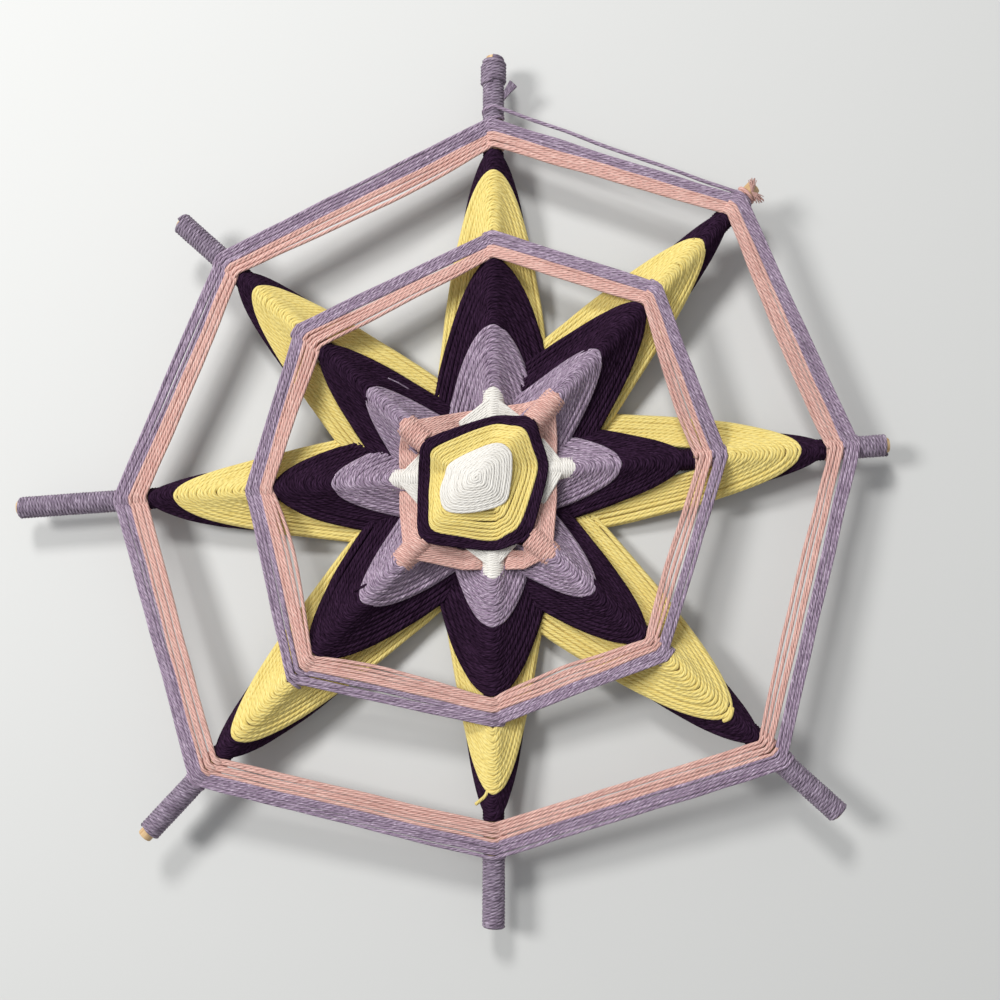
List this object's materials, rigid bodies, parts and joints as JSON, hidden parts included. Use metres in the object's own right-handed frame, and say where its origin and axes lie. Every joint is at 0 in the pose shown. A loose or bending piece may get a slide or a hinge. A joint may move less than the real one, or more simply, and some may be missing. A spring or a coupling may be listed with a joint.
{
  "type": "yarn mandala wall ornament",
  "caption": "Ojo de dios: crossed wooden sticks wound with bands of yarn into an eye, a star and openwork octagons, for hanging on a wall.",
  "frame": {"origin": "under the middle of the whole ornament, on the surface that it lies on", "axes": "+Z is the front, towards the viewer; +Y runs up the vertical stick; +X is to the right"},
  "size_m": [0.3004, 0.3002, 0.0228],
  "materials": {
    "wood": "bare, sanded",
    "white_yarn": "soft matt yarn",
    "yellow_yarn": "soft matt yarn",
    "purple_yarn": "soft matt yarn",
    "pink_yarn": "soft matt yarn",
    "lavender_yarn": "soft matt yarn, flecked paler"
  },
  "bodies": {
    "root": {"horizontal_stick": "wood", "rising_stick": "wood", "vertical_stick": "wood", "falling_stick": "wood", "white_eye": "white_yarn", "yellow_eye_ring": "yellow_yarn", "purple_eye_ring": "purple_yarn", "white_points": "white_yarn", "pink_square": "pink_yarn", "lavender_petals": "lavender_yarn", "purple_star": "purple_yarn", "yellow_star": "yellow_yarn", "purple_tips": "purple_yarn", "inner_octagon_pink": "pink_yarn", "inner_octagon_lavender": "lavender_yarn", "outer_octagon_pink": "pink_yarn", "outer_octagon_lavender": "lavender_yarn", "right_end_wrap": "lavender_yarn", "top_end_wrap": "lavender_yarn", "upper_left_end_wrap": "lavender_yarn", "left_end_wrap": "lavender_yarn", "lower_left_end_wrap": "lavender_yarn", "bottom_end_wrap": "lavender_yarn", "lower_right_end_wrap": "lavender_yarn", "pink_loose_end": "pink_yarn"}
  },
  "joints": []
}
